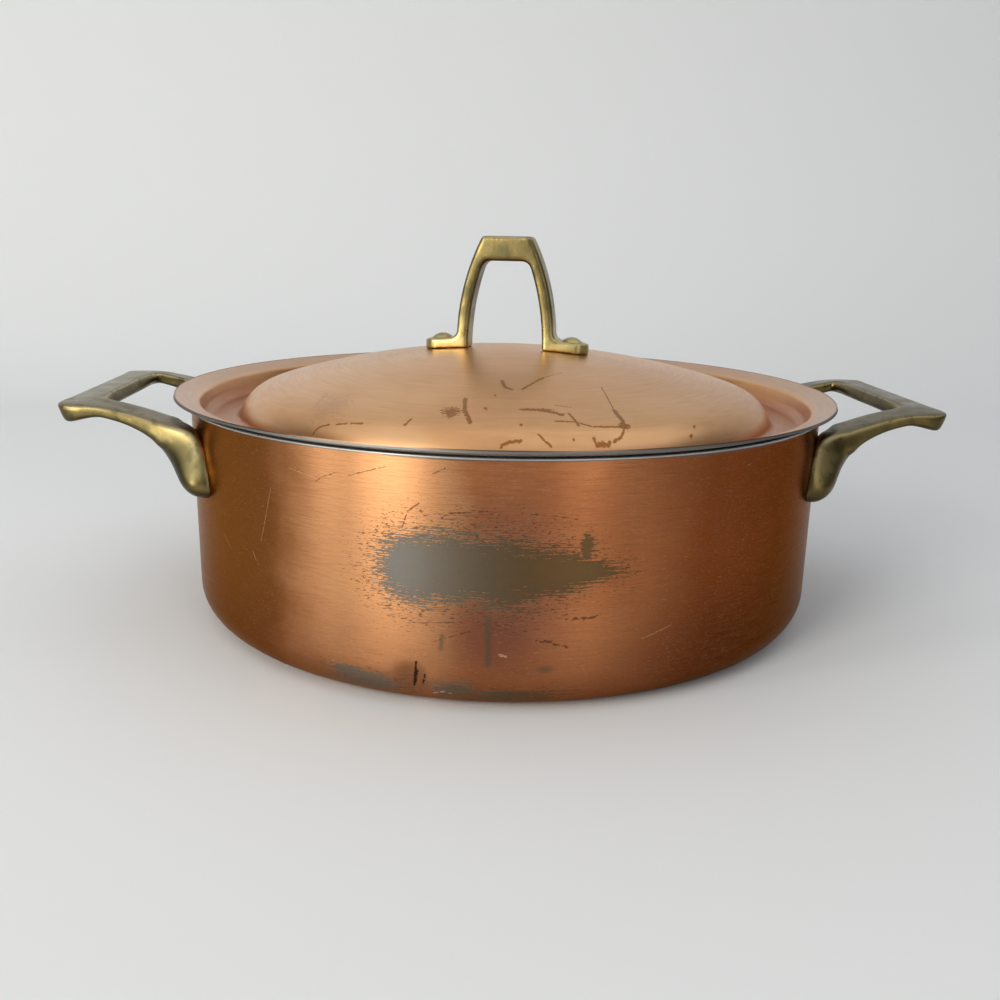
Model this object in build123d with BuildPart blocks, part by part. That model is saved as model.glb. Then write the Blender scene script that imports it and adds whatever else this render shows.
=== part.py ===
from build123d import *
from math import asin, cos, degrees, radians, sin, sqrt, tan
import os

# A copper and steel casserole with a lift-off lid and cast brass handles.
# Millimetres. The origin is the centre of the pot's underside, +Z is up,
# and the two pot handles lie on the X axis.

os.makedirs("parts", exist_ok=True)

# Pot body
pot_radius = 114.1            # outside of the copper wall at the rim
wall_draft = 0.4              # degrees that the wall leans in towards the floor
pot_height = 77.0             # top of the steel lip
pot_corner = 12.5             # outside radius between floor and wall
pot_copper = 0.5              # copper layer
pot_steel = 0.6               # steel layer and lip
lip_reach = 1.4               # lip past the copper wall
lip_round = 0.2               # rounding of the lip's edge
mouth_round = 1.0             # rounding inside the mouth

# Lid sheet, measured on its top surface
lid_copper = 0.35             # copper layer
lid_steel = 0.6               # steel layer
flange_reach = 5.4            # flange past the pot's wall
flange_slope = 18.0           # degrees that the flange rises outwards
dome_rise = 17.3              # apex above the neck of the flange
dome_radius = 300.0           # spherical crown
shoulder_inset = 23.1         # neck of the flange to where the crown turns down
shoulder_radius = 15.0        # rounding of the dome's shoulder
trough_depth = 6.7            # trough floor below the neck of the flange
plug_lean = 1.8               # plug wall leans out by this much over its height
plug_clearance = 0.9          # plug wall to the inside of the pot
seat_gap = 0.3                # flange to the lip that carries it
trough_inner_round = 2.0
trough_outer_round = 4.0
neck_round = 1.5

# Pot handles: a bar and two legs in one casting
finger_gap = 25.9             # pot wall to the bar's inner face
bar_width = 11.6
bar_half_length = 43.6        # half of the bar, along Y
bar_rise = 2.5                # bar's inner top edge above the pot's lip
bar_fall = 0.6                # outer top edge lower than the inner one
bar_inner_thickness = 5.6     # bar along its inner face
bar_outer_thickness = 7.6     # bar along its outer face
bar_undercut = 2.9            # outer face leans in towards the underside
bar_heel = 1.0                # underside reaches in past the inner face
bar_corner = 4.5              # rounding of the bar's corners in plan
bar_edge = 1.2                # rounding along the bar
leg_edge = 1.2                # rounding along the legs
leg_bury = 6.0                # end of the leg inside the bar
leg_inset = 0.3               # leg's outer side in from the bar's end
leg_width = 12.2              # leg where it leaves the bar
leg_thickness = 4.3
leg_sink = 0.8                # top of the leg below the bar's top, where they meet
knee_width = 14.2             # leg where it turns down
foot_angle = 25.7             # degrees from the X axis to the middle of a foot
foot_width = 15.4
foot_thickness = 5.7          # foot off the wall
foot_bottom = 29.8            # end of the foot below the bar's top
foot_bite = 3.0               # casting stock behind the foot, trimmed to the wall

# Pot handle rivets
pot_rivet_radius = 2.5
pot_rivet_head_radius = 5.0
pot_rivet_head_height = 1.6
pot_rivet_head_round = 1.1
pot_rivet_drop = 22.5         # rivet axis below the bar's top
pot_rivet_engagement = 4.0    # shank inside the foot
rivet_fit = 0.05              # gap round every rivet shank

# Lid handle
lid_turn = -14.0              # degrees from the pot handles to the lid handle
grip_height = 40.2            # top of the grip above the apex of the dome
grip_top_half = 9.0           # half width of the grip's flat top
grip_base_half = 18.2         # half width over the legs, at the tabs
grip_bow = 2.3                # outward bow of the legs outside
grip_depth = 10.0             # front to back
grip_bar_height = 8.8
grip_top_round = 1.2
window_top_half = 8.2         # half width of the opening under the grip
window_base_half = 13.7       # half width between the legs, at the dome
window_bow = 1.9              # outward bow of the legs inside
window_corner = 3.5
grip_edge = 1.2               # rounding along the grip
tab_half_length = 30.8        # centre to the tip of a foot tab
tab_thickness = 3.9
tab_heel = 3.0                # fillet between leg and tab

# Lid handle rivets
lid_rivet_spacing = 48.6
lid_rivet_radius = 1.9
lid_rivet_head_radius = 3.9
lid_rivet_head_height = 1.7
lid_rivet_tail_radius = 3.6
lid_rivet_tail_height = 1.0
lid_rivet_tail_round = 0.6

# Heights and radii that follow from the seat of the lid on the pot
lid_sheet = lid_copper + lid_steel
pot_sheet = pot_copper + pot_steel
slope = radians(flange_slope)
draft = radians(wall_draft)
mouth_radius = pot_radius - pot_sheet
neck_radius = mouth_radius - plug_clearance - lid_sheet
flange_radius = pot_radius + flange_reach
seat_radius = mouth_radius + mouth_round
neck_height = pot_height + seat_gap + lid_sheet / cos(slope) - (seat_radius - neck_radius) * tan(slope)
flange_height = neck_height + (flange_radius - neck_radius) * tan(slope)
apex_height = neck_height + dome_rise
trough_height = neck_height - trough_depth
crown_radius = neck_radius - shoulder_inset
crown_centre = apex_height - dome_radius
bar_top = pot_height + bar_rise


def wall_radius(height, depth=0.0):
    """Radius of the pot's wall at a height, some depth inside its outer surface."""
    return pot_radius - (pot_height - height) * tan(draft) - depth / cos(draft)


# Copper layer of the pot
copper_top = pot_height - pot_steel
with BuildPart() as pot_copper_shell:
    with BuildSketch(Plane.XZ):
        with BuildLine():
            FilletPolyline(
                (0, 0),
                (wall_radius(0), 0),
                (wall_radius(copper_top), copper_top),
                (wall_radius(copper_top, pot_copper), copper_top),
                (wall_radius(pot_copper, pot_copper), pot_copper),
                (0, pot_copper),
                radius=[0, pot_corner, 0, 0, pot_corner - pot_copper, 0],
                close=True,
            )
        make_face()
    revolve(axis=Axis.Z)

# Steel layer of the pot, with the lip turned out over the copper's edge
lip_radius = pot_radius + lip_reach
with BuildPart() as pot_steel_liner:
    with BuildSketch(Plane.XZ):
        with BuildLine():
            FilletPolyline(
                (0, pot_copper),
                (wall_radius(pot_copper, pot_copper), pot_copper),
                (wall_radius(copper_top, pot_copper), copper_top),
                (lip_radius, copper_top),
                (lip_radius, pot_height),
                (wall_radius(pot_height, pot_sheet), pot_height),
                (wall_radius(pot_sheet, pot_sheet), pot_sheet),
                (0, pot_sheet),
                radius=[
                    0,
                    pot_corner - pot_copper,
                    0,
                    lip_round,
                    lip_round,
                    mouth_round,
                    pot_corner - pot_sheet,
                    0,
                ],
                close=True,
            )
        make_face()
    revolve(axis=Axis.Z)

# The pot's outside as a solid, which trims the feet of the handles
with BuildPart() as pot_outside:
    with BuildSketch(Plane.XZ):
        with BuildLine():
            Polyline(
                (0, 0),
                (wall_radius(0), 0),
                (wall_radius(2 * pot_height), 2 * pot_height),
                (0, 2 * pot_height),
                close=True,
            )
        make_face()
    revolve(axis=Axis.Z)


def lid_line(line):
    """Draw half of the lid's top surface, from the apex to the edge of the flange."""
    crown_turn = asin(crown_radius / dome_radius)
    shoulder_x = crown_radius - shoulder_radius * sin(crown_turn)
    shoulder_z = crown_centre + (dome_radius - shoulder_radius) * cos(crown_turn)
    shoulder_end = degrees(asin((trough_height - shoulder_z) / shoulder_radius))
    shoulder_start = 90 - degrees(crown_turn)
    CenterArc((0, crown_centre), dome_radius, 90, -degrees(crown_turn))
    shoulder = CenterArc((shoulder_x, shoulder_z), shoulder_radius, shoulder_start, shoulder_end - shoulder_start)
    trough_start = shoulder @ 1
    trough_end = (neck_radius - plug_lean, trough_height)
    neck = (neck_radius, neck_height)
    Line(trough_start, trough_end)
    Line(trough_end, neck)
    Line(neck, (flange_radius, flange_height))
    fillet(line.vertices().sort_by_distance(trough_start)[0], trough_inner_round)
    fillet(line.vertices().sort_by_distance(trough_end)[0], trough_outer_round)
    fillet(line.vertices().sort_by_distance(neck)[0], neck_round)


# A lid rivet stands on the dome: z is 0 on the dome's top and its head is above the tab
lid_rivet_places = []
lid_rivet_lean = asin(lid_rivet_spacing / 2 / dome_radius)
for side in (1, -1):
    axis = Vector(side * sin(lid_rivet_lean), 0, cos(lid_rivet_lean)).rotate(Axis.Z, lid_turn)
    lid_rivet_places.append(Plane(origin=Vector(0, 0, crown_centre) + axis * dome_radius, z_dir=axis))

lid_rivet_foot = -lid_sheet - rivet_fit
lid_rivet_top = tab_thickness + lid_rivet_head_height
head_curve = (lid_rivet_head_radius**2 + lid_rivet_head_height**2) / (2 * lid_rivet_head_height)
with BuildPart() as lid_rivet:
    with BuildSketch(Plane.XZ):
        with BuildLine():
            RadiusArc((0, lid_rivet_top), (lid_rivet_head_radius, tab_thickness), head_curve)
            FilletPolyline(
                (lid_rivet_head_radius, tab_thickness),
                (lid_rivet_radius, tab_thickness),
                (lid_rivet_radius, lid_rivet_foot),
                (lid_rivet_tail_radius, lid_rivet_foot),
                (lid_rivet_tail_radius, lid_rivet_foot - lid_rivet_tail_height),
                (0, lid_rivet_foot - lid_rivet_tail_height),
                (0, lid_rivet_top),
                radius=[0, 0, 0, lid_rivet_tail_round, 0],
            )
        make_face()
    revolve(axis=Axis.Z)

with BuildPart() as lid_rivet_hole:
    Cylinder(lid_rivet_radius + rivet_fit, 4 * tab_thickness)

with BuildPart() as lid_rivets:
    with Locations(*lid_rivet_places):
        add(lid_rivet.part)

# Copper and steel layers of the lid, with the holes for the rivets
with BuildPart() as lid_copper_shell:
    with BuildSketch(Plane.XZ):
        with BuildLine() as copper_line:
            lid_line(copper_line)
            offset(amount=lid_copper, side=Side.RIGHT, closed=True)
        make_face()
    revolve(axis=Axis.Z)
    with Locations(*lid_rivet_places):
        add(lid_rivet_hole.part, mode=Mode.SUBTRACT)

with BuildPart() as lid_steel_liner:
    with BuildSketch(Plane.XZ):
        with BuildLine(mode=Mode.PRIVATE) as face_line:
            lid_line(face_line)
            inner_line = offset(amount=lid_copper, side=Side.RIGHT, closed=False, mode=Mode.PRIVATE)
        with BuildLine():
            add(inner_line)
            offset(amount=lid_steel, side=Side.RIGHT, closed=True)
        make_face()
    revolve(axis=Axis.Z)
    with Locations(*lid_rivet_places):
        add(lid_rivet_hole.part, mode=Mode.SUBTRACT)

# A pot rivet stands on the wall's inner face: z is 0 under its head and its shank points up.
# Its axis is square to the pot's axis, and its head bears on the curved wall at two sides.
rivet_height = bar_top - pot_rivet_drop
inside_radius = wall_radius(rivet_height, pot_sheet)
head_seat = sqrt(inside_radius**2 - pot_rivet_head_radius**2)
pot_rivet_length = wall_radius(rivet_height) + pot_rivet_engagement - head_seat
pot_rivet_places = []
for angle in (foot_angle, -foot_angle, 180 - foot_angle, 180 + foot_angle):
    axis = Vector(1, 0, 0).rotate(Axis.Z, angle)
    pot_rivet_places.append(Plane(origin=axis * head_seat + Vector(0, 0, rivet_height), z_dir=axis))

with BuildPart() as pot_rivet:
    Cylinder(pot_rivet_radius, pot_rivet_length, align=(Align.CENTER, Align.CENTER, Align.MIN))
    Cylinder(
        pot_rivet_head_radius,
        pot_rivet_head_height,
        align=(Align.CENTER, Align.CENTER, Align.MAX),
    )
    fillet(pot_rivet.edges().sort_by(Axis.Z)[0], pot_rivet_head_round)

with BuildPart() as pot_rivet_hole:
    Cylinder(
        pot_rivet_radius + rivet_fit,
        pot_rivet_length + rivet_fit,
        align=(Align.CENTER, Align.CENTER, Align.MIN),
    )

with BuildPart() as pot_rivets:
    with Locations(*pot_rivet_places):
        add(pot_rivet.part)

for shell in (pot_copper_shell, pot_steel_liner):
    with shell:
        with Locations(*pot_rivet_places):
            add(pot_rivet_hole.part, mode=Mode.SUBTRACT)

# Bar of a pot handle
bar_inner = pot_radius + finger_gap
bar_outer = bar_inner + bar_width
with BuildPart() as handle_bar:
    with BuildSketch(Plane.XZ):
        with BuildLine():
            Polyline(
                (bar_inner, bar_top),
                (bar_outer, bar_top - bar_fall),
                (bar_outer - bar_undercut, bar_top - bar_fall - bar_outer_thickness),
                (bar_inner - bar_heel, bar_top - bar_inner_thickness),
                close=True,
            )
        make_face()
    extrude(amount=bar_half_length, both=True)
    bar_ends = handle_bar.faces().filter_by(Axis.Y).edges()
    fillet(bar_ends.group_by(Axis.X)[-1], bar_corner)
    fillet(handle_bar.edges(), bar_edge)


def leg_section(upper, lower, turn, width):
    """Rounded section of a leg between two points of its side view."""
    across = Vector(0, 1, 0).rotate(Axis.Z, turn)
    depth = lower - upper
    plane = Plane(origin=(upper + lower) / 2, x_dir=across, z_dir=across.cross(depth))
    with BuildSketch(plane) as outline:
        RectangleRounded(width, depth.length, leg_edge)
    return outline.sketch


# A leg runs from inside the bar to the knee, in sections square to it. Each line is a point of
# the top edge and one of the lower edge, both as (out from the wall, below the bar's top), then
# the middle of the leg along Y, its turn about Z in degrees, and its width.
leg_start = finger_gap + leg_bury
leg_join = finger_gap + 0.2
leg_low = leg_sink + leg_thickness
leg_side = bar_half_length - leg_width / 2 - leg_inset
leg_lines = (
    ((leg_start, leg_sink), (leg_start, leg_low), leg_side, 0, leg_width),
    ((leg_join, leg_sink + 0.1), (leg_join, leg_low + 0.2), leg_side + 0.1, 0, leg_width),
    ((21.3, 1.5), (22.0, 6.1), 37.8, 1, 12.8),
    ((13.1, 3.4), (14.9, 8.2), 38.3, 3, 13.4),
    ((5.4, 6.2), (8.9, 11.3), 38.8, 5, 13.8),
    ((-0.6, 8.0), (4.1, 15.2), 39.3, 9, knee_width),
    ((-5.3, 9.6), (1.5, 17.9), 40.6, 14, knee_width + 0.6),
)

# A foot follows the wall. Each line is a point behind the foot and one on its face, both as
# (off the wall, below the bar's top), then the angle round the pot and the width.
foot_lines = (
    ((-foot_bite, 15.3), (foot_thickness + 1.6, 20.3), foot_angle - 2.9, foot_width + 0.6),
    ((-foot_bite, 22.3), (foot_thickness + 0.8, 24.8), foot_angle - 0.5, foot_width + 0.4),
    ((-foot_bite, 27.6), (foot_thickness, 27.6), foot_angle, foot_width - 0.4),
    ((-foot_bite, foot_bottom), (foot_thickness - 2.7, foot_bottom), foot_angle, foot_width - 3.4),
)

leg_sections = []
for upper, lower, side, turn, width in leg_lines:
    middle = Vector(pot_radius + (upper[0] + lower[0]) / 2, side, bar_top - (upper[1] + lower[1]) / 2)
    half = Vector((lower[0] - upper[0]) / 2, 0, (upper[1] - lower[1]) / 2).rotate(Axis.Z, turn)
    leg_sections.append(leg_section(middle - half, middle + half, turn, width))
for back, front, angle, width in foot_lines:
    behind = Vector(pot_radius + back[0], 0, bar_top - back[1]).rotate(Axis.Z, angle)
    face = Vector(pot_radius + front[0], 0, bar_top - front[1]).rotate(Axis.Z, angle)
    leg_sections.append(leg_section(behind, face, angle, width))


# The right handle: two legs and the bar, trimmed to the wall, with blind holes for its rivets
with BuildPart() as right_handle:
    loft(sections=leg_sections)
    mirror(about=Plane.XZ)
    add(handle_bar.part)
    add(pot_outside.part, mode=Mode.SUBTRACT)
    with Locations(*pot_rivet_places):
        add(pot_rivet_hole.part, mode=Mode.SUBTRACT)

with BuildPart() as left_handle:
    add(right_handle.part)
    mirror(about=Plane.YZ, mode=Mode.REPLACE)

# Lid handle: the side view, drawn along its own length, then turned to its place on the dome
grip_top = apex_height + grip_height
tab_radius = dome_radius + tab_thickness
tab_start_height = crown_centre + sqrt(tab_radius**2 - grip_base_half**2)
window_top = grip_top - grip_bar_height
window_base = crown_centre + sqrt(dome_radius**2 - window_base_half**2) - tab_thickness


def arch(top_half, top, base_half, base, bow):
    """Outline of an arch that stands on a line, with legs that bow outwards."""
    middle_x = (top_half + base_half) / 2 + bow
    middle_z = (top + base) / 2
    for side in (1, -1):
        ThreePointArc((side * top_half, top), (side * middle_x, middle_z), (side * base_half, base))
    Line((-top_half, top), (top_half, top))
    Line((-base_half, base), (base_half, base))


with BuildPart() as straight_lid_handle:
    with BuildSketch(Plane.XZ) as side_view:
        with Locations((0, crown_centre)):
            Circle(tab_radius)
        with Locations((0, apex_height)):
            Rectangle(2 * tab_half_length, 4 * tab_thickness, mode=Mode.INTERSECT)
        with BuildLine():
            arch(grip_top_half, grip_top, grip_base_half, tab_start_height, grip_bow)
        make_face()
        fillet(side_view.vertices().group_by(Axis.Y)[-1], grip_top_round)
        for side in (1, -1):
            heel = side_view.vertices().sort_by_distance((side * grip_base_half, tab_start_height))[0]
            fillet(heel, tab_heel)
        with BuildLine():
            arch(window_top_half, window_top, window_base_half, window_base, window_bow)
        make_face(mode=Mode.SUBTRACT)
        for side in (1, -1):
            corner = (side * window_top_half, window_top)
            fillet(side_view.vertices().sort_by_distance(corner)[0], window_corner)
        with Locations((0, crown_centre)):
            Circle(dome_radius, mode=Mode.SUBTRACT)
    extrude(amount=grip_depth / 2, both=True)
    side_faces = straight_lid_handle.faces().filter_by(Axis.Y)
    upper_edges = side_faces.edges().filter_by(lambda e: e.center().Z > tab_start_height - tab_thickness / 2)
    fillet(upper_edges, grip_edge)
    with BuildSketch(Plane.XY):
        SlotOverall(2 * tab_half_length, grip_depth)
    extrude(amount=2 * grip_top, mode=Mode.INTERSECT)

with BuildPart() as lid_handle:
    add(straight_lid_handle.part, rotation=(0, 0, lid_turn))
    with Locations(*lid_rivet_places):
        add(lid_rivet_hole.part, mode=Mode.SUBTRACT)

pieces = {
    "pot_copper_shell": pot_copper_shell,
    "pot_steel_liner": pot_steel_liner,
    "left_handle": left_handle,
    "right_handle": right_handle,
    "pot_rivets": pot_rivets,
    "lid_copper_shell": lid_copper_shell,
    "lid_steel_liner": lid_steel_liner,
    "lid_handle": lid_handle,
    "lid_rivets": lid_rivets,
}
for name, piece in pieces.items():
    piece.part.label = name
    export_step(piece.part, f"parts/{name}.step")
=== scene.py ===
from math import asin, cos, exp, pi, radians, sin, sqrt, tan

import bmesh
import bpy
from mathutils import Matrix, Vector


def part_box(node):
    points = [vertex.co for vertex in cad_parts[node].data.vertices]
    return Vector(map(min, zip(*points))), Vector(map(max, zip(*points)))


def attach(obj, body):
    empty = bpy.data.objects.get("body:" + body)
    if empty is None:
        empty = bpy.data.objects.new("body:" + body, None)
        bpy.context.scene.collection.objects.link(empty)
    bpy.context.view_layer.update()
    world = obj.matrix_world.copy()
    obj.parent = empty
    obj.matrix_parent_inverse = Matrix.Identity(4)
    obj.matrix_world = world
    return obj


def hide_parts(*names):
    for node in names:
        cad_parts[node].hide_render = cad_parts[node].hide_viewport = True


# A copper and steel casserole with a lift-off lid and cast brass handles.
# Metres. The pot's underside is at z = 0 and its two handles lie on the X axis.

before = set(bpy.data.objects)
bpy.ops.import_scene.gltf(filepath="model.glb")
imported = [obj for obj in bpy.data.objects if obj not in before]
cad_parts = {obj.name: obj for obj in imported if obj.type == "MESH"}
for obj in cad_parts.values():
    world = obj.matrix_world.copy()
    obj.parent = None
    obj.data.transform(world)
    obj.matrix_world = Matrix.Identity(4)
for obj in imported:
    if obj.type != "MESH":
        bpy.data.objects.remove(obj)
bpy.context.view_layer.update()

MM = 0.001

# Sizes of the sheets, which follow the frame's own boxes
wall_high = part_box("pot_copper_shell")[1]
lip_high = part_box("pot_steel_liner")[1]
lid_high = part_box("lid_copper_shell")[1]
wall_radius = wall_high.x
copper_top = wall_high.z
lip_radius = lip_high.x
lip_top = lip_high.z
wall_lean = tan(radians(0.4))
floor_corner = 12.5 * MM
pot_copper = 0.5 * MM
pot_steel = 0.6 * MM
lip_round = 0.2 * MM
mouth_round = 1.0 * MM

# The lid's top surface, from the crown to the edge of the flange
lid_copper = 0.35 * MM
lid_steel = 0.6 * MM
flange_slope = radians(18)
flange_radius = wall_radius + 5.4 * MM
neck_radius = wall_radius - 2.95 * MM
crown_sphere = 300 * MM
apex_height = lid_high.z
neck_height = apex_height - 17.3 * MM
trough_height = neck_height - 6.7 * MM
crown_radius = neck_radius - 23.1 * MM
brow_inset = 3.7 * MM
shoulder_round = 15 * MM
brow_round = 40 * MM
brow_end = radians(24)
plug_lean = 1.8 * MM
trough_inner_round = 2 * MM
trough_outer_round = 4 * MM
neck_round = 1.5 * MM

# Faces round the axis, steps in a rounded corner of the pot, and points close enough to be one
pot_steps = 480
lid_steps = 320
corner_steps = 12
same_point = 0.001 * MM


# Short calls for modelling


def rounded(corners, steps=8):
    """Points of an outline. A corner is (x, z) or (x, z, radius), and a radius rounds it with an arc."""
    points = []
    for number, corner in enumerate(corners):
        here = Vector(corner[:2])
        if len(corner) == 2:
            points.append(here)
            continue
        radius = corner[2]
        before = (Vector(corners[number - 1][:2]) - here).normalized()
        after = (Vector(corners[(number + 1) % len(corners)][:2]) - here).normalized()
        half = before.angle(after) / 2
        centre = here + (before + after).normalized() * radius / sin(half)
        start = here + before * radius / tan(half) - centre
        end = here + after * radius / tan(half) - centre
        turn = -start.angle_signed(end)
        points += [centre + Matrix.Rotation(turn * step / steps, 2) @ start for step in range(steps + 1)]
    return points


def arc(centre, radius, start, end, steps):
    """Points of an arc in the XZ plane, with angles from the X axis."""
    angles = [start + (end - start) * step / steps for step in range(steps + 1)]
    return [Vector((centre[0] + radius * cos(angle), centre[1] + radius * sin(angle))) for angle in angles]


def shifted(points, distance):
    """An open outline moved sideways, to the right of its own direction. Its start stays on the axis."""
    moved = []
    for number, point in enumerate(points):
        ahead = points[min(number + 1, len(points) - 1)]
        behind = points[max(number - 1, 0)]
        along = (ahead - behind).normalized()
        side = Vector((along.y, -along.x)) if point.x else Vector((0, -1))
        moved.append(point + side * distance)
    return moved


def spin_outline(points, steps):
    """Turn an outline of (radius, height) points round the Z axis. A sector is spun, then copied round."""
    sectors = 8
    turn = 2 * pi / sectors
    centre = (0, 0, 0)
    bm = bmesh.new()
    verts = [bm.verts.new((point[0], 0, point[1])) for point in points]
    edges = [bm.edges.new(pair) for pair in zip(verts, verts[1:])]
    bmesh.ops.spin(
        bm,
        geom=verts + edges,
        cent=centre,
        axis=(0, 0, 1),
        angle=turn,
        steps=steps // sectors,
        use_merge=False,
    )
    sector = bm.verts[:] + bm.edges[:] + bm.faces[:]
    for number in range(1, sectors):
        copied = bmesh.ops.duplicate(bm, geom=sector)["geom"]
        copied_verts = [part for part in copied if isinstance(part, bmesh.types.BMVert)]
        onward = Matrix.Rotation(turn * number, 3, "Z")
        bmesh.ops.rotate(bm, verts=copied_verts, cent=centre, matrix=onward)
    bmesh.ops.remove_doubles(bm, verts=bm.verts, dist=same_point)
    bmesh.ops.recalc_face_normals(bm, faces=bm.faces)
    return bm


def finished(name, bm, material, body, nodes, sharp=35):
    """Make a piece from a bmesh and set it in the frame. Edges over the sharp angle stay sharp."""
    for face in bm.faces:
        face.smooth = True
    for edge in bm.edges:
        edge.smooth = edge.calc_face_angle(0) < radians(sharp)
    mesh = bpy.data.meshes.new(name)
    bm.to_mesh(mesh)
    bm.free()
    mesh.materials.append(material)
    piece = bpy.data.objects.new(name, mesh)
    bpy.context.scene.collection.objects.link(piece)
    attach(piece, body)
    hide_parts(*nodes)


# Short calls for materials


def node(tree, kind, inputs=None, **settings):
    """Add a node. Inputs are values or other nodes' sockets, by the input's name or number."""
    added = tree.nodes.new(kind)
    for name, value in settings.items():
        setattr(added, name, value)
    for name, value in (inputs or {}).items():
        if isinstance(value, bpy.types.NodeSocket):
            tree.links.new(value, added.inputs[name])
        else:
            added.inputs[name].default_value = value
    return added


def maths(tree, operation, *values, clamp=False):
    """A Math node's output."""
    inputs = dict(enumerate(values))
    return node(tree, "ShaderNodeMath", inputs, operation=operation, use_clamp=clamp).outputs[0]


def vectors(tree, operation, *values):
    """A Vector Math node, whose output is Vector or Value."""
    return node(tree, "ShaderNodeVectorMath", dict(enumerate(values)), operation=operation)


def split(tree, vector):
    """A vector's parts, by the names X, Y and Z."""
    return node(tree, "ShaderNodeSeparateXYZ", {0: vector}).outputs


def joined(tree, **parts):
    """A vector from its parts."""
    return node(tree, "ShaderNodeCombineXYZ", parts).outputs[0]


def ramp(tree, value, low, high, to_low=0.0, to_high=1.0):
    """A value eased from one range to another."""
    inputs = {"Value": value, "From Min": low, "From Max": high, "To Min": to_low, "To Max": to_high}
    return node(tree, "ShaderNodeMapRange", inputs, interpolation_type="SMOOTHSTEP").outputs[0]


def band(tree, value, rise, fall):
    """1 between two eased edges, each given by where it starts and where it ends, and 0 outside them."""
    return maths(tree, "MULTIPLY", ramp(tree, value, *rise), ramp(tree, value, *fall))


def swing(tree, noise, size, middle=0.5):
    """Noise made to swing to both sides of 0, over this size from its lowest to its highest."""
    return maths(tree, "MULTIPLY", maths(tree, "SUBTRACT", noise, middle), size)


def blended(tree, share, first, second):
    """Two colours mixed by a share of the second."""
    mix = tree.nodes.new("ShaderNodeMix")
    mix.data_type = "RGBA"
    for socket, value in zip((mix.inputs["Factor"], mix.inputs[6], mix.inputs[7]), (share, first, second)):
        if isinstance(value, bpy.types.NodeSocket):
            tree.links.new(value, socket)
        else:
            socket.default_value = value if isinstance(value, (int, float)) else (*value, 1)
    return mix.outputs[2]


def cloud(tree, place, sizes, detail=2.0, roughness=0.5):
    """Noise with features of these sizes along X, Y and Z, in metres."""
    scale = tuple(1 / size for size in sizes)
    stretched = vectors(tree, "MULTIPLY", place, scale).outputs["Vector"]
    inputs = {"Vector": stretched, "Scale": 1.0, "Detail": detail, "Roughness": roughness}
    return node(tree, "ShaderNodeTexNoise", inputs).outputs["Fac"]


def group_tree(name, inputs, outputs):
    """A shader node group with these sockets. Returns it with its input and output nodes."""
    tree = bpy.data.node_groups.new(name, "ShaderNodeTree")
    for socket, kind in inputs.items():
        tree.interface.new_socket(socket, in_out="INPUT", socket_type="NodeSocket" + kind)
    for socket, kind in outputs.items():
        tree.interface.new_socket(socket, in_out="OUTPUT", socket_type="NodeSocket" + kind)
    return tree, tree.nodes.new("NodeGroupInput").outputs, tree.nodes.new("NodeGroupOutput").inputs


def grouped(tree, group, inputs):
    """Place a node group in a tree, and return its outputs."""
    placed = tree.nodes.new("ShaderNodeGroup")
    placed.node_tree = group
    for name, value in inputs.items():
        if isinstance(value, bpy.types.NodeSocket):
            tree.links.new(value, placed.inputs[name])
        else:
            placed.inputs[name].default_value = value
    return placed.outputs


# Node groups


def make_blot_group():
    """How far inside an ellipse a point is, 1 at its middle, 0 on its edge, or the value so far."""
    tree, given, result = group_tree(
        "blot",
        {"So far": "Float", "Place": "Vector", "Centre": "Vector", "Reach": "Vector"},
        {"Inside": "Float"},
    )
    away = vectors(tree, "SUBTRACT", given["Place"], given["Centre"]).outputs["Vector"]
    scaled = vectors(tree, "DIVIDE", away, given["Reach"]).outputs["Vector"]
    distance = vectors(tree, "LENGTH", scaled).outputs["Value"]
    inside = maths(tree, "SUBTRACT", 1.0, distance)
    tree.links.new(maths(tree, "MAXIMUM", inside, given["So far"]), result["Inside"])
    return tree


def make_stroke_group():
    """How far inside a round-ended stroke a point is, 1 on its line, 0 on its edge, or the value so far."""
    tree, given, result = group_tree(
        "stroke",
        {"So far": "Float", "Place": "Vector", "Start": "Vector", "End": "Vector", "Reach": "Float"},
        {"Inside": "Float"},
    )
    from_start = vectors(tree, "SUBTRACT", given["Place"], given["Start"]).outputs["Vector"]
    line = vectors(tree, "SUBTRACT", given["End"], given["Start"]).outputs["Vector"]
    forward = vectors(tree, "DOT_PRODUCT", from_start, line).outputs["Value"]
    length = vectors(tree, "DOT_PRODUCT", line, line).outputs["Value"]
    share = maths(tree, "DIVIDE", forward, length, clamp=True)
    scale_node = vectors(tree, "SCALE", line)
    tree.links.new(share, scale_node.inputs["Scale"])
    off = vectors(tree, "SUBTRACT", from_start, scale_node.outputs["Vector"]).outputs["Vector"]
    distance = maths(tree, "DIVIDE", vectors(tree, "LENGTH", off).outputs["Value"], given["Reach"])
    inside = maths(tree, "SUBTRACT", 1.0, distance)
    tree.links.new(maths(tree, "MAXIMUM", inside, given["So far"]), result["Inside"])
    return tree


def make_wall_place_group():
    """A place on an upright wall as the way round it from the front, to the right, and the height."""
    tree, given, result = group_tree(
        "wall_place", {"Place": "Vector", "Radius": "Float"}, {"Wall": "Vector"}
    )
    parts = split(tree, given["Place"])
    backward = maths(tree, "MULTIPLY", parts["Y"], -1.0)
    turn = maths(tree, "ARCTAN2", parts["X"], backward)
    way = maths(tree, "MULTIPLY", turn, given["Radius"])
    tree.links.new(joined(tree, X=way, Y=parts["Z"]), result["Wall"])
    return tree


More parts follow.
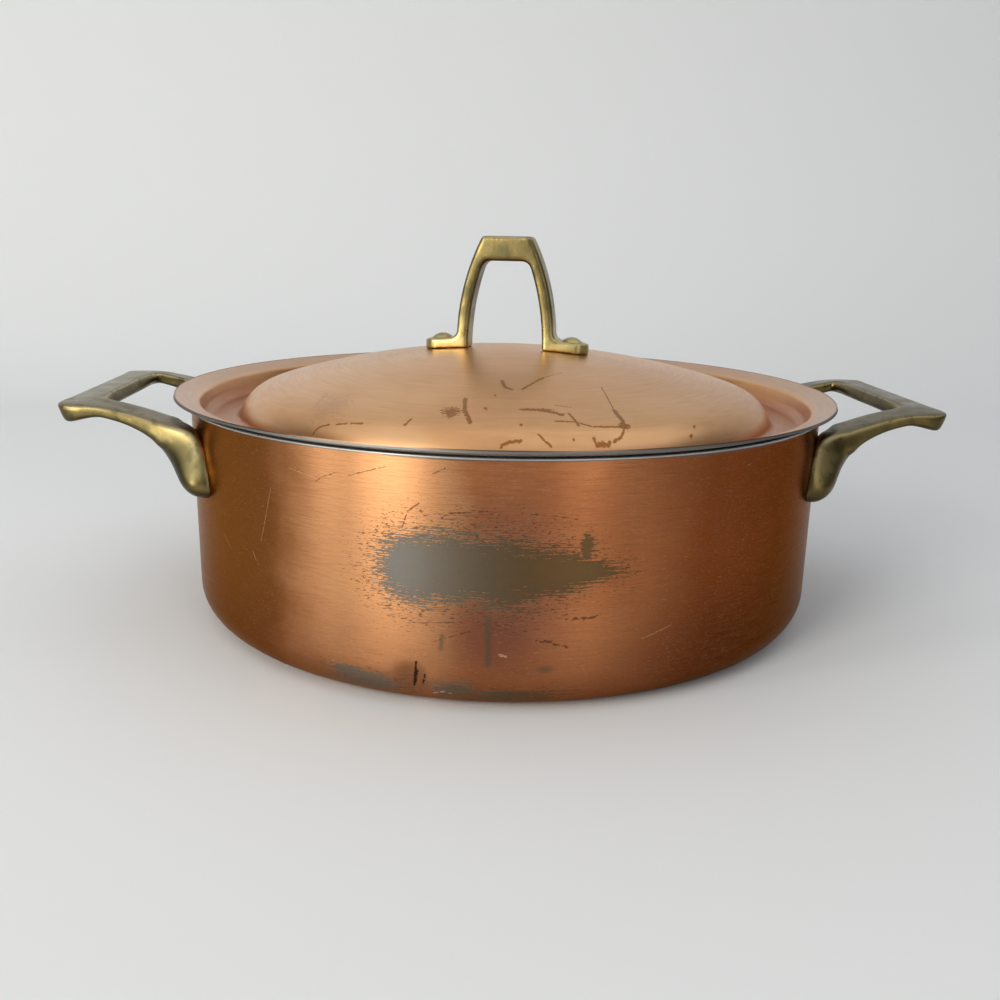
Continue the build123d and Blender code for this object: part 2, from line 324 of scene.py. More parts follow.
def make_spun_place_group():
    """A place on a spun sheet, stretched so that noise on it runs in rings round the Z axis."""
    tree, given, result = group_tree(
        "spun_place", {"Place": "Vector", "Ring": "Float", "Along": "Float"}, {"Spun": "Vector"}
    )
    parts = split(tree, given["Place"])
    plan = joined(tree, X=parts["X"], Y=parts["Y"])
    distance = vectors(tree, "LENGTH", plan).outputs["Value"]
    ring = maths(tree, "DIVIDE", maths(tree, "ADD", distance, parts["Z"]), given["Ring"])
    along_x = maths(tree, "DIVIDE", parts["X"], given["Along"])
    along_y = maths(tree, "DIVIDE", parts["Y"], given["Along"])
    tree.links.new(joined(tree, X=along_x, Y=along_y, Z=ring), result["Spun"])
    return tree


blot_group = make_blot_group()
stroke_group = make_stroke_group()
wall_place_group = make_wall_place_group()
spun_place_group = make_spun_place_group()
far_outside = -100.0


def mark_point(point):
    """A mark's point in millimetres as a place in metres."""
    return (point[0] * MM, point[1] * MM, 0)


def nearest(tree, place, blots=(), strokes=()):
    """The most that a point is inside any of these blots (centre, reach) and strokes (points, reach)."""
    inside = far_outside
    for centre, reach in blots:
        size = (reach[0] * MM, reach[1] * MM, 1)
        inputs = {"So far": inside, "Place": place, "Centre": mark_point(centre), "Reach": size}
        inside = grouped(tree, blot_group, inputs)["Inside"]
    for points, reach in strokes:
        for start, end in zip(points, points[1:]):
            inputs = {
                "So far": inside,
                "Place": place,
                "Start": mark_point(start),
                "End": mark_point(end),
                "Reach": reach * MM,
            }
            inside = grouped(tree, stroke_group, inputs)["Inside"]
    return inside


def ring_streaks(tree, place, ring, along):
    """Fine streaks in rings round the Z axis, this wide and this long."""
    spun = grouped(tree, spun_place_group, {"Place": place, "Ring": ring, "Along": along})["Spun"]
    return node(tree, "ShaderNodeTexNoise", {"Vector": spun, "Scale": 1.0, "Detail": 3.0}).outputs["Fac"]


def new_metal(name, anisotropy=0.0):
    """A bare metal, given with its tree, its shader and the place on a piece. Anisotropy spreads its
    highlights across grooves that run round the Z axis."""
    material = bpy.data.materials.new(name)
    material.use_nodes = True
    tree = material.node_tree
    shader = tree.nodes["Principled BSDF"]
    shader.inputs["Metallic"].default_value = 1.0
    if anisotropy:
        tangent = node(tree, "ShaderNodeTangent", direction_type="RADIAL", axis="Z")
        tree.links.new(tangent.outputs[0], shader.inputs["Tangent"])
        shader.inputs["Anisotropic"].default_value = anisotropy
        shader.inputs["Anisotropic Rotation"].default_value = 0.25
    place = node(tree, "ShaderNodeTexCoord").outputs["Object"]
    return material, tree, shader, place


def bumped(tree, shader, height, depth, strength=1.0):
    """Give a shader a bump of this depth in metres."""
    bump = node(tree, "ShaderNodeBump", {"Height": height, "Distance": depth, "Strength": strength})
    tree.links.new(bump.outputs[0], shader.inputs["Normal"])


# Marks, in millimetres. A blot is its centre and its reach both ways, and a stroke is its points and
# its reach. On the pot's wall, a point is the way round from the front, then the height
worn_blots = (
    ((-31.0, 43.8), (14.0, 12.2)),
    ((-20.0, 45.0), (19.0, 12.0)),
    ((-6.5, 43.8), (17.0, 12.2)),
    ((6.0, 44.3), (16.0, 8.0)),
    ((16.5, 44.0), (13.0, 4.0)),
    ((17.8, 51.0), (2.2, 4.6)),
)
low_worn_blots = (
    ((-48.0, 6.6), (15.0, 4.2)),
    ((-53.0, 9.4), (8.0, 2.4)),
    ((-20.0, 6.8), (8.5, 3.8)),
    ((-4.0, 5.6), (20.0, 3.0)),
)
wall_dark_strokes = (
    (((12.1, 30.2), (14.1, 29.6)), 0.4),
    (((14.6, 30.1), (18.9, 30.0), (22.6, 30.8)), 0.42),
    (((4.3, 23.6), (8.2, 23.1), (13.0, 21.4)), 0.55),
    (((1.6, 61.1), (7.5, 60.6), (14.8, 59.5)), 0.2),
    (((-23.8, 59.1), (-21.1, 60.7), (-10.5, 61.7)), 0.24),
    (((-29.9, 63.1), (-33.2, 60.4), (-34.9, 55.5)), 0.26),
    (((-51.3, 69.0), (-46.8, 70.5), (-39.4, 72.8)), 0.16),
    (((-62.9, 65.8), (-59.8, 67.8), (-55.5, 69.4)), 0.16),
    (((-26.0, 71.6), (-22.5, 73.4)), 0.18),
    (((-33.3, 27.4), (-19.8, 28.6)), 0.14),
    (((-26.4, 22.0), (-15.0, 26.2)), 0.14),
)
wall_crack = (
    (((-30.8, 15.5), (-31.4, 11.4), (-32.5, 6.5)), 0.5),
    (((-31.2, 12.2), (-32.2, 7.6)), 0.95),
    (((-28.4, 11.4), (-28.6, 10.4)), 0.45),
    (((-28.8, 9.4), (-29.2, 8.3)), 0.5),
)
wall_green_strokes = ((((-9.9, 30.3), (-9.7, 16.3)), 1.7), (((-23.1, 24.3), (-23.5, 20.2)), 1.2))
wall_light_strokes = (
    (((-80.9, 61.0), (-84.5, 49.4), (-86.6, 43.7)), 0.2),
    (((-72.4, 68.6), (-62.9, 67.0)), 0.18),
    (((-91.2, 39.5), (-89.5, 36.8)), 0.25),
    (((-109.5, 41.2), (-104.7, 37.2)), 0.2),
    (((36.0, 22.0), (46.0, 25.0)), 0.16),
)
wall_flakes = (
    (((-6.5, 19.3), (-4.6, 18.8)), 0.5),
    (((-26.0, 5.2), (-24.8, 5.6)), 0.45),
    (((-23.6, 5.9), (-22.8, 6.2)), 0.6),
    (((-21.4, 5.6), (-20.6, 5.5)), 0.4),
)
wall_green_blots = (((6.7, 14.7), (4.0, 2.0)),)
wall_thin_blots = (((-6, 40), (26, 38)),)
wall_stain_blots = (((-9, 25), (17, 14)),)

# On the lid, a point is X then Y
lid_strokes = (
    (((-4.3, -54.3), (-3.7, -60.5), (-1.4, -62.8)), 0.8),
    (((2.0, -62.3), (9.2, -50.7)), 0.75),
    (((9.2, -50.7), (16.4, -43.4)), 0.25),
    (((-16.3, -69.7), (-16.6, -78.4), (-15.0, -86.3)), 0.95),
    (((0.6, -78.1), (6.6, -78.3), (12.7, -80.8)), 1.1),
    (((10.3, -85.3), (15.9, -85.0), (21.5, -86.7), (32.1, -84.4)), 0.5),
    (((14.8, -79.6), (17.2, -86.9)), 0.55),
    (((29.5, -74.8), (31.6, -83.6)), 1.0),
    (((28.0, -55.6), (29.5, -74.8)), 0.3),
    (((31.0, -85.7), (29.8, -88.5), (27.4, -90.4)), 0.5),
    (((21.2, -90.9), (21.9, -92.5), (23.8, -91.5), (25.5, -91.7), (26.1, -90.7)), 0.6),
    (((4.8, -91.9), (6.6, -93.7), (8.3, -94.6)), 0.45),
    (((-6.2, -94.8), (-4.0, -94.1), (-0.3, -93.8)), 0.6),
    (((-34.4, -83.7), (-32.7, -81.4)), 0.6),
    (((-62.9, -72.2), (-61.1, -71.9), (-57.9, -73.3)), 0.4),
    (((-55.6, -74.6), (-52.4, -76.0)), 0.4),
    (((-51.0, -76.7), (-47.4, -78.4)), 0.4),
    (((55.0, -74.0), (54.6, -75.0)), 0.5),
    (((53.4, -78.0), (52.9, -78.8)), 0.5),
    (((11.3, -74.5), (16.1, -75.2)), 0.3),
)
lid_blots = (
    ((-20.8, -78.6), (3.6, 4.6)),
    ((-10.1, -77.4), (0.9, 1.6)),
    ((-6.9, -67.7), (0.6, 1.3)),
    ((23.4, -91.9), (1.6, 0.8)),
    ((31.2, -84.0), (2.4, 2.0)),
    ((7.5, -78.4), (4.0, 1.6)),
    ((15.1, -92.3), (0.5, 0.7)),
    ((0.0, -88.0), (0.6, 0.9)),
)
lid_faint_strokes = ((((-63.5, -59.6), (-61.3, -50.0)), 1.6),)
lid_faint_blots = (((-58.0, -63.0), (10.0, 13.0)),)

# Painted shade in the bend of the left handle's near leg, where a point is X then Z
shaded_bend_blots = (((-109, 60), (9.5, 11)),)

# Colours of the pot's wall
pink_copper = (0.42, 0.148, 0.054)
warm_copper = (0.50, 0.19, 0.075)
# Painted shade: the next three colours darken the sides of the wall where they would reflect dark
# surroundings
right_shade_brown = (0.26, 0.065, 0.015)
far_right_shade_brown = (0.16, 0.036, 0.008)
left_shade_brown = (0.23, 0.082, 0.018)
# Painted highlight: the next colour is a pale band standing in for a window's reflection
highlight_copper = (0.55, 0.265, 0.12)
thin_copper = (0.28, 0.11, 0.068)
# Painted shade: the next two colours darken the foot of the wall, most on the right
low_shade_brown = (0.18, 0.055, 0.022)
low_right_shade_brown = (0.09, 0.02, 0.004)
back_brown = (0.18, 0.05, 0.012)
back_copper = (0.25, 0.08, 0.024)
stain_brown = (0.20, 0.07, 0.045)
stain_green = (0.105, 0.09, 0.058)
streak_brown = (0.26, 0.10, 0.05)
grain_light = (0.70, 0.38, 0.22)
dust_brown = (0.12, 0.065, 0.035)
speck_brown = (0.10, 0.058, 0.03)
scratch_brown = (0.11, 0.05, 0.025)
scratch_light = (0.75, 0.47, 0.29)
crack_black = (0.045, 0.02, 0.01)
flake_pink = (0.56, 0.33, 0.25)
top_edge_grey = (0.16, 0.12, 0.11)
grazing_copper = (0.76, 0.58, 0.47)

# Colours of the steel that shows where the wall is worn
worn_steel_left = (0.122, 0.113, 0.105)
worn_steel_middle = (0.175, 0.14, 0.10)
worn_steel_right = (0.168, 0.097, 0.04)
worn_steel_mottle = (0.085, 0.075, 0.06)
worn_steel_fringe = (0.10, 0.085, 0.058)

# Colours of the lid
lid_warm = (0.66, 0.355, 0.165)
lid_pale = (0.74, 0.43, 0.215)
# Painted shade: the next colour darkens the lid's trough
trough_shade_brown = (0.41, 0.155, 0.07)
flange_pink = (0.56, 0.38, 0.29)
lid_streak_dark = (0.47, 0.23, 0.12)
lid_streak_light = (0.80, 0.52, 0.33)
lid_cut_brown = (0.24, 0.14, 0.09)
lid_mark_brown = (0.30, 0.115, 0.026)
lid_faint_brown = (0.42, 0.22, 0.12)

# Colours of the satin steel
satin_pale = (0.50, 0.495, 0.48)
satin_grey = (0.39, 0.385, 0.37)
satin_warm = (0.42, 0.39, 0.35)
satin_cut = (0.20, 0.195, 0.185)

# Colours of the brass
brass_side = (0.20, 0.15, 0.058)
brass_side_dark = (0.125, 0.10, 0.043)
# Painted light by facing: the next four colours are lighter upward faces, a grey reflection on top, a
# highlight along upper edges and shade underneath
brass_upper_lit = (0.31, 0.24, 0.105)
brass_top_reflection = (0.235, 0.198, 0.125)
brass_edge_highlight = (0.52, 0.44, 0.25)
brass_under_shade = (0.055, 0.04, 0.014)
brass_green = (0.075, 0.068, 0.036)
brass_fleck = (0.09, 0.08, 0.04)
# Painted shade: the next colour darkens the bend of a leg
brass_bend_shade = (0.042, 0.038, 0.018)
# Polish and painted highlight: the next colour brightens the feet of the lid's grip
brass_foot_polish_and_highlight = (0.52, 0.43, 0.19)
# Painted shade: the next colour darkens the right handle, away from the light
brass_right_shade = (0.06, 0.042, 0.012)


def plan_and_reach(tree, place):
    """A place seen from above, and its distance from the Z axis."""
    parts = split(tree, place)
    plan = joined(tree, X=parts["X"], Y=parts["Y"])
    return plan, vectors(tree, "LENGTH", plan).outputs["Value"]


def cut_edge(tree, reach):
    """1 on the lid's cut edge, where the sheet is duller, and 0 elsewhere."""
    return ramp(tree, reach, flange_radius - 0.6 * MM, flange_radius - 0.25 * MM)


def wall_patina_and_painted_light(tree, wall, streaks, fine, broad):
    """The copper's colours: pink in the middle and plain at the back, with a painted highlight where a
    window is reflected on the left of the front, and painted shade at the sides and low down."""
    across = split(tree, wall)
    sway = swing(tree, broad, 26 * MM)
    way = maths(tree, "ADD", across["X"], sway)
    height = maths(tree, "ADD", across["Y"], maths(tree, "MULTIPLY", sway, 0.6))
    tone = blended(tree, ramp(tree, broad, 0.3, 0.7), pink_copper, warm_copper)
    # Painted shade: darker to the right, further right and at the left end
    tone = blended(tree, ramp(tree, way, 28 * MM, 60 * MM), tone, right_shade_brown)
    tone = blended(tree, ramp(tree, way, 60 * MM, 100 * MM), tone, far_right_shade_brown)
    tone = blended(tree, ramp(tree, way, -58 * MM, -86 * MM), tone, left_shade_brown)
    # Painted highlight: a pale band of window reflection on the left of the front
    painted_highlight = band(tree, way, (-82 * MM, -55 * MM), (-13 * MM, -25 * MM))
    tone = blended(tree, painted_highlight, tone, highlight_copper)
    thin = nearest(tree, wall, wall_thin_blots)
    tone = blended(tree, ramp(tree, thin, 0.0, 0.8, 0, 0.8), tone, thin_copper)
    # Painted shade low down, darkest low on the right
    tone = blended(tree, ramp(tree, height, 36 * MM, 2 * MM, 0, 0.62), tone, low_shade_brown)
    low = ramp(tree, height, 52 * MM, 8 * MM, 0, 0.8)
    low_right = maths(tree, "MULTIPLY", low, ramp(tree, way, 16 * MM, 72 * MM))
    tone = blended(tree, low_right, tone, low_right_shade_brown)
    back = blended(tree, ramp(tree, broad, 0.35, 0.65), back_brown, back_copper)
    behind = ramp(tree, maths(tree, "ABSOLUTE", across["X"]), 105 * MM, 190 * MM)
    tone = blended(tree, behind, tone, back)
    stained = nearest(tree, wall, wall_stain_blots)
    tone = blended(tree, ramp(tree, stained, 0.0, 0.8, 0, 0.55), tone, stain_brown)
    tone = blended(tree, ramp(tree, streaks, 0.4, 0.72, 0, 0.4), tone, streak_brown)
    return blended(tree, ramp(tree, fine, 0.55, 0.75, 0, 0.3), tone, grain_light)


def wall_specks(tree, tone, place, patch, low_patch):
    """A tone with dust and specks of bare dark metal over it, thick beside the worn patches."""
    beside_patch = ramp(tree, patch, -1.3, 0.0)
    beside = maths(tree, "MAXIMUM", beside_patch, ramp(tree, low_patch, -1.6, 0.0, 0, 0.6))
    dust = cloud(tree, place, (0.8 * MM, 0.8 * MM, 0.3 * MM), detail=2, roughness=0.5)
    dust_limit = maths(tree, "SUBTRACT", 0.73, maths(tree, "MULTIPLY", beside, 0.09))
    dust = maths(tree, "SUBTRACT", dust, dust_limit)
    tone = blended(tree, ramp(tree, dust, 0.0, 0.03, 0, 0.6), tone, dust_brown)
    specks = cloud(tree, place, (1.5 * MM, 1.5 * MM, 0.42 * MM), detail=3, roughness=0.6)
    speck_limit = maths(tree, "SUBTRACT", 0.72, maths(tree, "MULTIPLY", beside, 0.15))
    specks = maths(tree, "SUBTRACT", specks, speck_limit)
    return blended(tree, ramp(tree, specks, 0.0, 0.03, 0, 0.85), tone, speck_brown)


def wall_scratches(tree, tone, wall, place, ragged):
    """A tone with the dark scratches, the green stains and the light scratches over it."""
    flecks = cloud(tree, place, (1.2 * MM, 1.2 * MM, 0.7 * MM), detail=2, roughness=0.5)
    broken = swing(tree, flecks, 4.0, middle=0.52)
    dark = maths(tree, "ADD", nearest(tree, wall, strokes=wall_dark_strokes), broken)
    tone = blended(tree, ramp(tree, dark, 0.15, 0.6, 0, 0.85), tone, scratch_brown)
    green = nearest(tree, wall, wall_green_blots, wall_green_strokes)
    green = maths(tree, "ADD", green, maths(tree, "MULTIPLY", ragged, 0.5))
    tone = blended(tree, ramp(tree, green, 0.0, 1.0, 0, 0.62), tone, stain_green)
    light = maths(tree, "ADD", nearest(tree, wall, strokes=wall_light_strokes), ragged)
    return blended(tree, ramp(tree, light, 0.2, 0.8, 0, 0.5), tone, scratch_light)


def worn_steel(tree, way, fine, worn):
    """The steel where the copper has gone: grey on the left, browner to the right, darker at its fringe."""
    tone = blended(tree, ramp(tree, way, -38 * MM, -14 * MM), worn_steel_left, worn_steel_middle)
    tone = blended(tree, ramp(tree, way, -24 * MM, 8 * MM), tone, worn_steel_right)
    tone = blended(tree, ramp(tree, fine, 0.5, 0.72, 0, 0.3), tone, worn_steel_mottle)
    return blended(tree, ramp(tree, worn, 0.5, 0.15, 0, 0.5), tone, worn_steel_fringe)


def make_wall_copper():
    """Brushed copper under an uneven brown patina with painted highlight and painted shade, worn through to
    the steel at the front.
    """
    material, tree, shader, place = new_metal("brushed_copper_wall", anisotropy=0.75)
    wall = grouped(tree, wall_place_group, {"Place": place, "Radius": wall_radius})["Wall"]
    across = split(tree, wall)
    streaks = cloud(tree, place, (9 * MM, 9 * MM, 0.35 * MM), detail=3, roughness=0.6)
    fine = cloud(tree, place, (1.3 * MM, 1.3 * MM, 0.3 * MM), detail=3, roughness=0.65)
    broad = cloud(tree, place, (30 * MM, 30 * MM, 24 * MM), detail=4, roughness=0.55)
    ragged = swing(tree, fine, 2.6)
    patch = nearest(tree, wall, worn_blots)
    low_patch = nearest(tree, wall, low_worn_blots)
    tone = wall_patina_and_painted_light(tree, wall, streaks, fine, broad)
    tone = wall_specks(tree, tone, place, patch, low_patch)
    tone = wall_scratches(tree, tone, wall, place, ragged)

    # Steel inside the copper's torn edges
    tear = maths(tree, "ADD", swing(tree, fine, 1.4), swing(tree, streaks, 1.7))
    worn = maths(tree, "ADD", patch, tear)
    low_worn = maths(tree, "ADD", low_patch, maths(tree, "MULTIPLY", tear, 1.7))
    bare = maths(tree, "MAXIMUM", ramp(tree, worn, 0.1, 0.2), ramp(tree, low_worn, 0.2, 0.36, 0, 0.9))
    tone = blended(tree, bare, tone, worn_steel(tree, across["X"], fine, worn))
    crack = maths(tree, "ADD", nearest(tree, wall, strokes=wall_crack), ragged)
    tone = blended(tree, ramp(tree, crack, 0.2, 0.6), tone, crack_black)
    flakes = maths(tree, "ADD", nearest(tree, wall, strokes=wall_flakes), ragged)
    tone = blended(tree, ramp(tree, flakes, 0.3, 0.6, 0, 0.9), tone, flake_pink)

    # The copper's own upper edge is ragged under the lip
    from_top = maths(tree, "SUBTRACT", copper_top, across["Y"])
    upper_edge = maths(tree, "ADD", from_top, swing(tree, broad, 2.2 * MM))
    tone = blended(tree, ramp(tree, upper_edge, 0.9 * MM, 0.5 * MM, 0, 0.8), tone, top_edge_grey)
    tree.links.new(tone, shader.inputs["Base Color"])
    shader.inputs["Specular Tint"].default_value = (*grazing_copper, 1)
    dull = maths(tree, "ADD", streaks, maths(tree, "MULTIPLY", bare, 0.4))
    tree.links.new(ramp(tree, dull, 0.3, 1.1, 0.27, 0.5), shader.inputs["Roughness"])
    relief = maths(tree, "SUBTRACT", fine, maths(tree, "MULTIPLY", bare, 0.6))
    bumped(tree, shader, relief, 0.05 * MM, 0.5)
    return material


def make_lid_copper():
    """Brushed copper of the lid, with painted shade browner in its trough and brown marks where it is
    scratched.
    """
    material, tree, shader, place = new_metal("brushed_copper_lid", anisotropy=0.45)
    plan, reach = plan_and_reach(tree, place)
    streaks = ring_streaks(tree, place, 0.4 * MM, 13 * MM)
    fine = cloud(tree, place, (1.0 * MM, 1.0 * MM, 1.0 * MM), detail=3, roughness=0.65)
    broad = cloud(tree, place, (34 * MM, 34 * MM, 34 * MM), detail=4, roughness=0.55)
    tone = blended(tree, ramp(tree, broad, 0.3, 0.7), lid_warm, lid_pale)
    # Painted shade and reflection in the trough
    trough = band(tree, reach, (95 * MM, 99 * MM), (112 * MM, 109 * MM))
    tone = blended(tree, maths(tree, "MULTIPLY", trough, 0.9), tone, trough_shade_brown)
    tone = blended(tree, ramp(tree, reach, 111 * MM, 114 * MM, 0, 0.7), tone, flange_pink)
    tone = blended(tree, ramp(tree, streaks, 0.4, 0.75, 0, 0.18), tone, lid_streak_dark)
    tone = blended(tree, ramp(tree, streaks, 0.5, 0.25, 0, 0.13), tone, lid_streak_light)
    tone = blended(tree, cut_edge(tree, reach), tone, lid_cut_brown)
    ragged = swing(tree, fine, 2.2)
    marks = maths(tree, "ADD", nearest(tree, plan, lid_blots, lid_strokes), ragged)
    tone = blended(tree, ramp(tree, marks, 0.12, 0.45, 0, 0.92), tone, lid_mark_brown)
    faint = maths(tree, "ADD", nearest(tree, plan, lid_faint_blots, lid_faint_strokes), ragged)
    tone = blended(tree, ramp(tree, faint, 0.1, 0.9, 0, 0.35), tone, lid_faint_brown)
    tree.links.new(tone, shader.inputs["Base Color"])
    tree.links.new(ramp(tree, streaks, 0.3, 0.8, 0.31, 0.38), shader.inputs["Roughness"])
    bumped(tree, shader, broad, 0.3 * MM, 0.1)
    return material


def make_steel():
    """Satin stainless steel, turned in rings."""
    material, tree, shader, place = new_metal("satin_steel", anisotropy=0.4)
    reach = plan_and_reach(tree, place)[1]
    streaks = ring_streaks(tree, place, 0.35 * MM, 14 * MM)
    broad = cloud(tree, place, (30 * MM, 30 * MM, 30 * MM), detail=4)
    tone = blended(tree, ramp(tree, streaks, 0.3, 0.75), satin_pale, satin_grey)
    tone = blended(tree, ramp(tree, broad, 0.45, 0.8, 0, 0.4), tone, satin_warm)
    cut = cut_edge(tree, reach)
    tone = blended(tree, cut, tone, satin_cut)
    tree.links.new(tone, shader.inputs["Base Color"])
    satin = ramp(tree, streaks, 0.3, 0.8, 0.36, 0.48)
    dull = maths(tree, "ADD", satin, maths(tree, "MULTIPLY", cut, 0.15))
    tree.links.new(dull, shader.inputs["Roughness"])
    bumped(tree, shader, streaks, 0.02 * MM, 0.4)
    return material


def make_brass():
    """Aged cast brass, green in patches, with painted light by facing: painted brown shade underneath, a
    painted grey reflection on top and a painted highlight along upper edges.
    """
    material, tree, shader, place = new_metal("aged_brass")
    parts = split(tree, place)
    broad = cloud(tree, place, (8 * MM, 8 * MM, 8 * MM), detail=4, roughness=0.6)
    fine = cloud(tree, place, (0.8 * MM, 0.8 * MM, 0.8 * MM), detail=3, roughness=0.6)
    green = cloud(tree, place, (5 * MM, 5 * MM, 12 * MM), detail=3, roughness=0.6)
    uneven = swing(tree, broad, 0.8)

    # Painted light by how far a face looks up: lighter upward faces, a painted grey reflection on top, a
    # painted highlight along upper edges and painted shade underneath
    facing = split(tree, node(tree, "ShaderNodeTexCoord").outputs["Normal"])["Z"]
    leaning = maths(tree, "ADD", facing, uneven)
    tone = blended(tree, ramp(tree, broad, 0.38, 0.66), brass_side, brass_side_dark)
    tone = blended(tree, ramp(tree, leaning, 0.2, 0.5), tone, brass_upper_lit)
    tone = blended(tree, ramp(tree, leaning, 0.7, 0.98), tone, brass_top_reflection)
    painted_highlight = band(tree, facing, (0.36, 0.56), (0.86, 0.7))
    tone = blended(tree, maths(tree, "MULTIPLY", painted_highlight, 0.6), tone, brass_edge_highlight)
    tone = blended(tree, ramp(tree, leaning, -0.15, -0.6, 0, 0.9), tone, brass_under_shade)
    tone = blended(tree, ramp(tree, green, 0.5, 0.66, 0, 0.6), tone, brass_green)
    tone = blended(tree, ramp(tree, fine, 0.6, 0.78, 0, 0.45), tone, brass_fleck)

    # By place: painted shade in the bend of the left handle's near leg, polish with a painted highlight on
    # the feet of the lid's grip, and painted shade over the right handle
    side = joined(tree, X=parts["X"], Y=parts["Z"])
    bend = maths(tree, "ADD", nearest(tree, side, shaded_bend_blots), uneven)
    tone = blended(tree, ramp(tree, bend, 0.0, 0.6, 0, 0.8), tone, brass_bend_shade)
    # Polish with a painted highlight on the feet of the lid's grip
    feet = band(tree, parts["Z"], (110 * MM, 98 * MM), (88 * MM, 92 * MM))
    feet = maths(tree, "MULTIPLY", feet, ramp(tree, broad, 0.3, 0.6, 0.35, 0.8))
    tone = blended(tree, feet, tone, brass_foot_polish_and_highlight)
    # Painted shade over the right handle
    tone = blended(tree, ramp(tree, parts["X"], 60 * MM, 100 * MM, 0, 0.4), tone, brass_right_shade)
    tree.links.new(tone, shader.inputs["Base Color"])
    tree.links.new(ramp(tree, broad, 0.3, 0.75, 0.26, 0.42), shader.inputs["Roughness"])
    relief = maths(tree, "ADD", broad, maths(tree, "MULTIPLY", fine, 0.3))
    bumped(tree, shader, relief, 0.2 * MM, 0.35)
    return material


wall_copper = make_wall_copper()
lid_copper_finish = make_lid_copper()
steel = make_steel()
brass = make_brass()


# The pot's sheets


def wall_outside(height, depth=0.0):
    """Radius of the pot's wall at a height, some depth inside its outer surface."""
    return wall_radius - (copper_top - height) * wall_lean - depth


def dented(bm):
    """Press the dent at the foot of the wall inwards."""
    dent_way = -32.0 * MM
    dent_height = 8.0 * MM
    dent_depth = 2.1 * MM
    half_width = 3.5 * MM
    half_height = 4.9 * MM
    for vert in bm.verts:
        radius = sqrt(vert.co.x**2 + vert.co.y**2)
        if vert.co.y > 0 or radius < wall_radius / 2:
            continue
        way = (asin(vert.co.x / radius) * wall_radius - dent_way) / half_width
        rise = (vert.co.z - dent_height) / half_height
        press = dent_depth * exp(-(way**2) - rise**4)
        vert.co.x -= vert.co.x / radius * press
        vert.co.y -= vert.co.y / radius * press


def wall_line(depth):
    """The pot's outline at some depth in its sheets: from the middle of the floor, round the corner, and
    up the foot of the wall by rows close enough together to take the dent."""
    corner = (wall_outside(depth, depth), depth, floor_corner - depth)
    rows = [height * MM for height in (14, 15.5, 17, 19, 24)]
    return [(0, depth), corner] + [(wall_outside(height, depth), height) for height in rows]


def make_pot_sheet(name, outline, material, cad_node):
    """Spin one of the pot's sheets and press the dent into it."""
    bm = spin_outline(rounded(outline, corner_steps), pot_steps)
    dented(bm)
    finished(name, bm, material, "pot", [cad_node])


copper_outline = [
    *wall_line(0),
    (wall_outside(copper_top), copper_top),
    (wall_outside(copper_top, pot_copper), copper_top),
    *wall_line(pot_copper)[::-1],
]
make_pot_sheet("copper_pot", copper_outline, wall_copper, "pot_copper_shell")

pot_sheets = pot_copper + pot_steel
steel_outline = [
    *wall_line(pot_copper),
    (wall_outside(copper_top, pot_copper), copper_top),
    (lip_radius, copper_top, lip_round),
    (lip_radius, lip_top, lip_round),
    (wall_outside(lip_top, pot_sheets), lip_top, mouth_round),
    *wall_line(pot_sheets)[::-1],
]
make_pot_sheet("steel_pot", steel_outline, steel, "pot_steel_liner")


# The lid's sheets


def lid_top():
    """Half of the lid's top surface, from its apex to the edge of the flange."""
    crown_centre = apex_height - crown_sphere
    crown_turn = asin((crown_radius - brow_inset) / crown_sphere)
    brow_x = (crown_sphere - brow_round) * sin(crown_turn)
    brow_z = crown_centre + (crown_sphere - brow_round) * cos(crown_turn)
    shoulder_x = brow_x + (brow_round - shoulder_round) * sin(brow_end)
    shoulder_z = brow_z + (brow_round - shoulder_round) * cos(brow_end)
    shoulder_end = asin((trough_height - shoulder_z) / shoulder_round)
    upright = pi / 2
    crown = arc((0, crown_centre), crown_sphere, upright, upright - crown_turn, steps=24)
    brow = arc((brow_x, brow_z), brow_round, upright - crown_turn, upright - brow_end, steps=8)
    shoulder = arc((shoulder_x, shoulder_z), shoulder_round, upright - brow_end, shoulder_end, steps=14)
    rim = [
        shoulder[-3],
        (*shoulder[-1], trough_inner_round),
        (neck_radius - plug_lean, trough_height, trough_outer_round),
        (neck_radius, neck_height, neck_round),
        (flange_radius, neck_height + (flange_radius - neck_radius) * tan(flange_slope)),
    ]
    return crown + brow[1:] + shoulder[1:-3] + rounded(rim)


lid_line = lid_top()
lid_middle = shifted(lid_line, lid_copper)
lid_under = shifted(lid_line, lid_copper + lid_steel)
lid_copper_bm = spin_outline(lid_line + lid_middle[::-1], lid_steps)
finished("copper_lid", lid_copper_bm, lid_copper_finish, "lid", ["lid_copper_shell"])
lid_steel_bm = spin_outline(lid_middle + lid_under[::-1], lid_steps)
finished("steel_lid", lid_steel_bm, steel, "lid", ["lid_steel_liner"])


# The cast handles and the rivets


def modified(bm, *modifiers):
    """Shape a bmesh by these modifiers, each a kind and its settings."""
    mesh = bpy.data.meshes.new("rough")
    bm.to_mesh(mesh)
    rough = bpy.data.objects.new("rough", mesh)
    bpy.context.scene.collection.objects.link(rough)
    for kind, settings in modifiers:
        modifier = rough.modifiers.new(kind, kind)
        for name, value in settings.items():
            setattr(modifier, name, value)
    bm.clear()
    bm.from_object(rough, bpy.context.evaluated_depsgraph_get())
    bpy.data.objects.remove(rough)
    bpy.data.meshes.remove(mesh)


